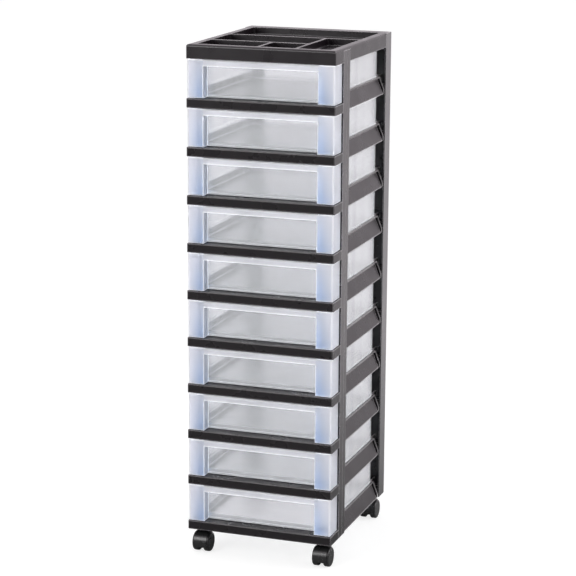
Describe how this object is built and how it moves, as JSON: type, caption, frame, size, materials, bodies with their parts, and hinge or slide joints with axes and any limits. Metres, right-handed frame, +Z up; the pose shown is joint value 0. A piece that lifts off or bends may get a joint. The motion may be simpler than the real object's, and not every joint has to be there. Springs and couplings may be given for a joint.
{
  "type": "plastic drawer tower",
  "caption": "Tall rolling tower of frosted pull-out drawers in a dark stacked frame, with a divided tray on top and twin-wheel swivel casters.",
  "frame": {"origin": "on the floor, under the middle of the tower's footprint", "axes": "+Z up; the drawers pull out towards -Y, so -Y is the front; +X is to the right for someone who faces the front"},
  "size_m": [0.306, 0.362, 1.039],
  "materials": {
    "black_plastic": "satin moulded, near black",
    "frosted_plastic": "frosted translucent, slightly blue, with a clearer front window",
    "caster_plastic": "glossy black",
    "steel": "bright zinc-plated"
  },
  "bodies": {
    "tower": {"organizer_tray": "black_plastic", "front_left_post": "black_plastic", "front_right_post": "black_plastic", "rear_left_post": "black_plastic", "rear_right_post": "black_plastic", "tier_frame_01": "black_plastic", "tier_frame_02": "black_plastic", "tier_frame_03": "black_plastic", "tier_frame_04": "black_plastic", "tier_frame_05": "black_plastic", "tier_frame_06": "black_plastic", "tier_frame_07": "black_plastic", "tier_frame_08": "black_plastic", "tier_frame_09": "black_plastic", "tier_frame_10": "black_plastic", "front_left_caster_stem": "steel", "front_right_caster_stem": "steel", "rear_left_caster_stem": "steel", "rear_right_caster_stem": "steel"},
    "drawer_01_body": {"drawer_01": "frosted_plastic"},
    "drawer_02_body": {"drawer_02": "frosted_plastic"},
    "drawer_03_body": {"drawer_03": "frosted_plastic"},
    "drawer_04_body": {"drawer_04": "frosted_plastic"},
    "drawer_05_body": {"drawer_05": "frosted_plastic"},
    "drawer_06_body": {"drawer_06": "frosted_plastic"},
    "drawer_07_body": {"drawer_07": "frosted_plastic"},
    "drawer_08_body": {"drawer_08": "frosted_plastic"},
    "drawer_09_body": {"drawer_09": "frosted_plastic"},
    "drawer_10_body": {"drawer_10": "frosted_plastic"},
    "front_left_caster": {"front_left_caster_hood": "caster_plastic", "front_left_caster_axle": "steel"},
    "front_left_caster_wheel_left_body": {"front_left_caster_wheel_left": "caster_plastic"},
    "front_left_caster_wheel_right_body": {"front_left_caster_wheel_right": "caster_plastic"},
    "front_right_caster": {"front_right_caster_hood": "caster_plastic", "front_right_caster_axle": "steel"},
    "front_right_caster_wheel_left_body": {"front_right_caster_wheel_left": "caster_plastic"},
    "front_right_caster_wheel_right_body": {"front_right_caster_wheel_right": "caster_plastic"},
    "rear_left_caster": {"rear_left_caster_hood": "caster_plastic", "rear_left_caster_axle": "steel"},
    "rear_left_caster_wheel_left_body": {"rear_left_caster_wheel_left": "caster_plastic"},
    "rear_left_caster_wheel_right_body": {"rear_left_caster_wheel_right": "caster_plastic"},
    "rear_right_caster": {"rear_right_caster_hood": "caster_plastic", "rear_right_caster_axle": "steel"},
    "rear_right_caster_wheel_left_body": {"rear_right_caster_wheel_left": "caster_plastic"},
    "rear_right_caster_wheel_right_body": {"rear_right_caster_wheel_right": "caster_plastic"}
  },
  "joints": [
    {"name": "drawer_01_slide", "type": "slide", "parent": "tower", "child": "drawer_01_body", "axis": [0, -1, 0], "range_m": [0, 0.215]},
    {"name": "drawer_02_slide", "type": "slide", "parent": "tower", "child": "drawer_02_body", "axis": [0, -1, 0], "range_m": [0, 0.215]},
    {"name": "drawer_03_slide", "type": "slide", "parent": "tower", "child": "drawer_03_body", "axis": [0, -1, 0], "range_m": [0, 0.215]},
    {"name": "drawer_04_slide", "type": "slide", "parent": "tower", "child": "drawer_04_body", "axis": [0, -1, 0], "range_m": [0, 0.215]},
    {"name": "drawer_05_slide", "type": "slide", "parent": "tower", "child": "drawer_05_body", "axis": [0, -1, 0], "range_m": [0, 0.215]},
    {"name": "drawer_06_slide", "type": "slide", "parent": "tower", "child": "drawer_06_body", "axis": [0, -1, 0], "range_m": [0, 0.215]},
    {"name": "drawer_07_slide", "type": "slide", "parent": "tower", "child": "drawer_07_body", "axis": [0, -1, 0], "range_m": [0, 0.215]},
    {"name": "drawer_08_slide", "type": "slide", "parent": "tower", "child": "drawer_08_body", "axis": [0, -1, 0], "range_m": [0, 0.215]},
    {"name": "drawer_09_slide", "type": "slide", "parent": "tower", "child": "drawer_09_body", "axis": [0, -1, 0], "range_m": [0, 0.215]},
    {"name": "drawer_10_slide", "type": "slide", "parent": "tower", "child": "drawer_10_body", "axis": [0, -1, 0], "range_m": [0, 0.215]},
    {"name": "front_left_caster_swivel", "type": "hinge", "parent": "tower", "child": "front_left_caster", "pos_m": [-0.129, -0.145, 0.049], "axis": [0, 0, 1], "continuous": true},
    {"name": "front_left_caster_wheel_left_spin", "type": "hinge", "parent": "front_left_caster", "child": "front_left_caster_wheel_left_body", "pos_m": [-0.14045, -0.157, 0.02], "axis": [1, 0, 0], "continuous": true},
    {"name": "front_left_caster_wheel_right_spin", "type": "hinge", "parent": "front_left_caster", "child": "front_left_caster_wheel_right_body", "pos_m": [-0.11755, -0.157, 0.02], "axis": [1, 0, 0], "continuous": true},
    {"name": "front_right_caster_swivel", "type": "hinge", "parent": "tower", "child": "front_right_caster", "pos_m": [0.129, -0.145, 0.049], "axis": [0, 0, 1], "continuous": true},
    {"name": "front_right_caster_wheel_left_spin", "type": "hinge", "parent": "front_right_caster", "child": "front_right_caster_wheel_left_body", "pos_m": [0.11755, -0.157, 0.02], "axis": [1, 0, 0], "continuous": true},
    {"name": "front_right_caster_wheel_right_spin", "type": "hinge", "parent": "front_right_caster", "child": "front_right_caster_wheel_right_body", "pos_m": [0.14045, -0.157, 0.02], "axis": [1, 0, 0], "continuous": true},
    {"name": "rear_left_caster_swivel", "type": "hinge", "parent": "tower", "child": "rear_left_caster", "pos_m": [-0.129, 0.145, 0.049], "axis": [0, 0, 1], "continuous": true},
    {"name": "rear_left_caster_wheel_left_spin", "type": "hinge", "parent": "rear_left_caster", "child": "rear_left_caster_wheel_left_body", "pos_m": [-0.14045, 0.157, 0.02], "axis": [1, 0, 0], "continuous": true},
    {"name": "rear_left_caster_wheel_right_spin", "type": "hinge", "parent": "rear_left_caster", "child": "rear_left_caster_wheel_right_body", "pos_m": [-0.11755, 0.157, 0.02], "axis": [1, 0, 0], "continuous": true},
    {"name": "rear_right_caster_swivel", "type": "hinge", "parent": "tower", "child": "rear_right_caster", "pos_m": [0.129, 0.145, 0.049], "axis": [0, 0, 1], "continuous": true},
    {"name": "rear_right_caster_wheel_left_spin", "type": "hinge", "parent": "rear_right_caster", "child": "rear_right_caster_wheel_left_body", "pos_m": [0.11755, 0.157, 0.02], "axis": [1, 0, 0], "continuous": true},
    {"name": "rear_right_caster_wheel_right_spin", "type": "hinge", "parent": "rear_right_caster", "child": "rear_right_caster_wheel_right_body", "pos_m": [0.14045, 0.157, 0.02], "axis": [1, 0, 0], "continuous": true}
  ]
}
